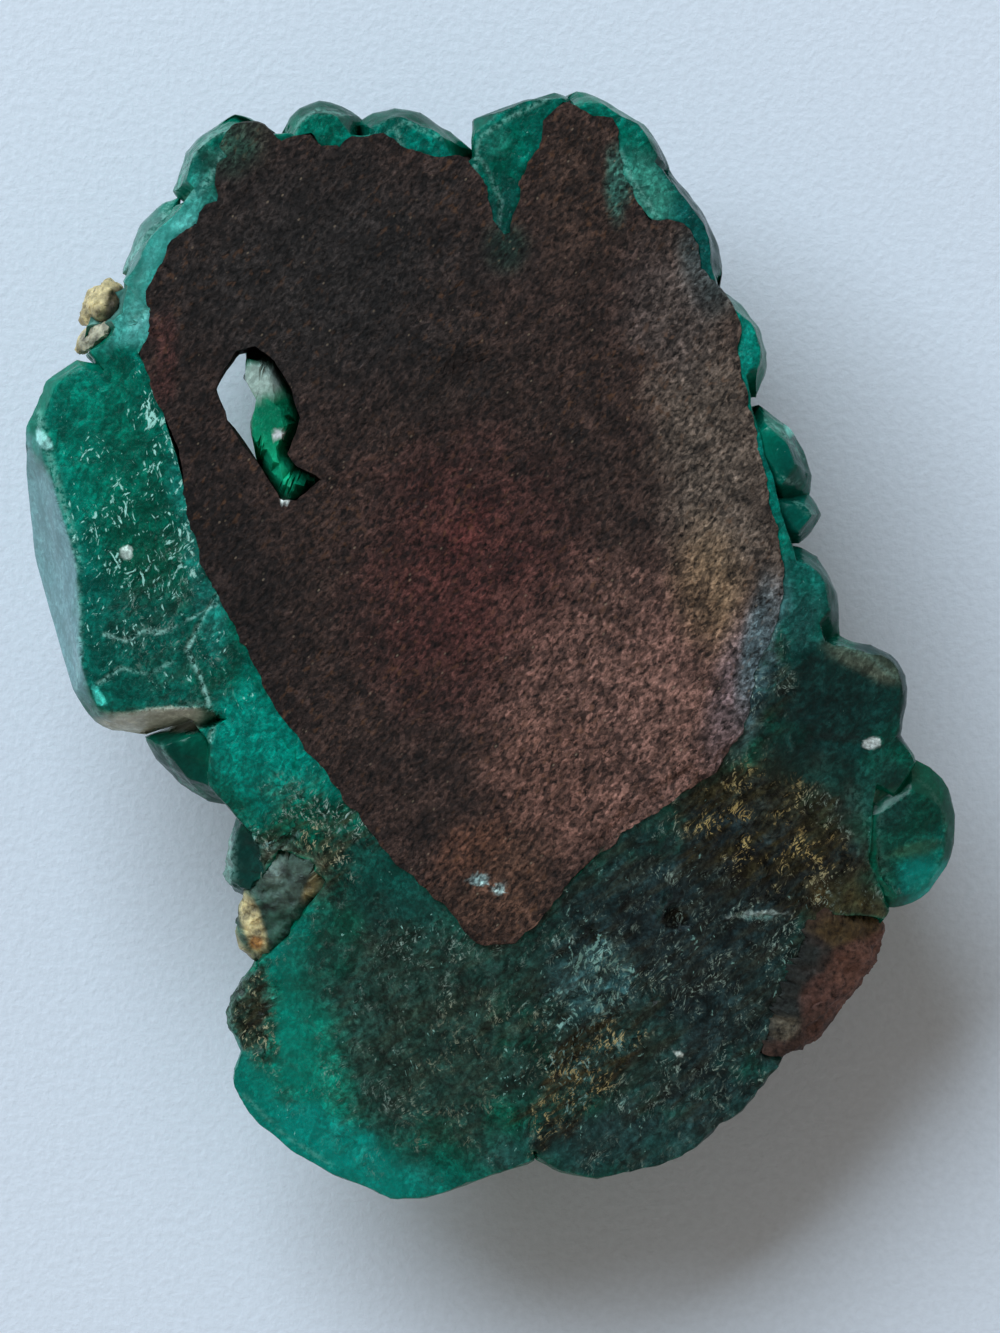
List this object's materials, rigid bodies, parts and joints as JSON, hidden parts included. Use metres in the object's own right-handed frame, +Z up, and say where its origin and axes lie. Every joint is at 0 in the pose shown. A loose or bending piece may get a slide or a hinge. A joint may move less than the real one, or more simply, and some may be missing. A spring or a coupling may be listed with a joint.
{
  "type": "mineral specimen",
  "caption": "Rough dioptase cluster: stubby emerald-green crystals grown together round a flat slab of brown host rock, resting on its crystals with the ground back up.",
  "frame": {"origin": "middle of the object's footprint, at the level of the worn crystal tips that it rests on", "axes": "+Z up, out of the ground back of brown rock; +Y along the specimen's length, towards the broad end of the heart-shaped rock; +X to the right of it seen from above"},
  "size_m": [0.0424, 0.0502, 0.014],
  "materials": {
    "dioptase": "translucent, ground dull on the back and glassy on the crystal faces",
    "host_rock": "ground, rough",
    "ironstone": "rough",
    "calcite": "dull, broken"
  },
  "bodies": {
    "root": {"dioptase_crystals": "dioptase", "host_rock": "host_rock", "host_rock_flank": "ironstone", "calcite_bead": "calcite", "calcite_flake": "calcite", "calcite_vein": "calcite"}
  },
  "joints": []
}
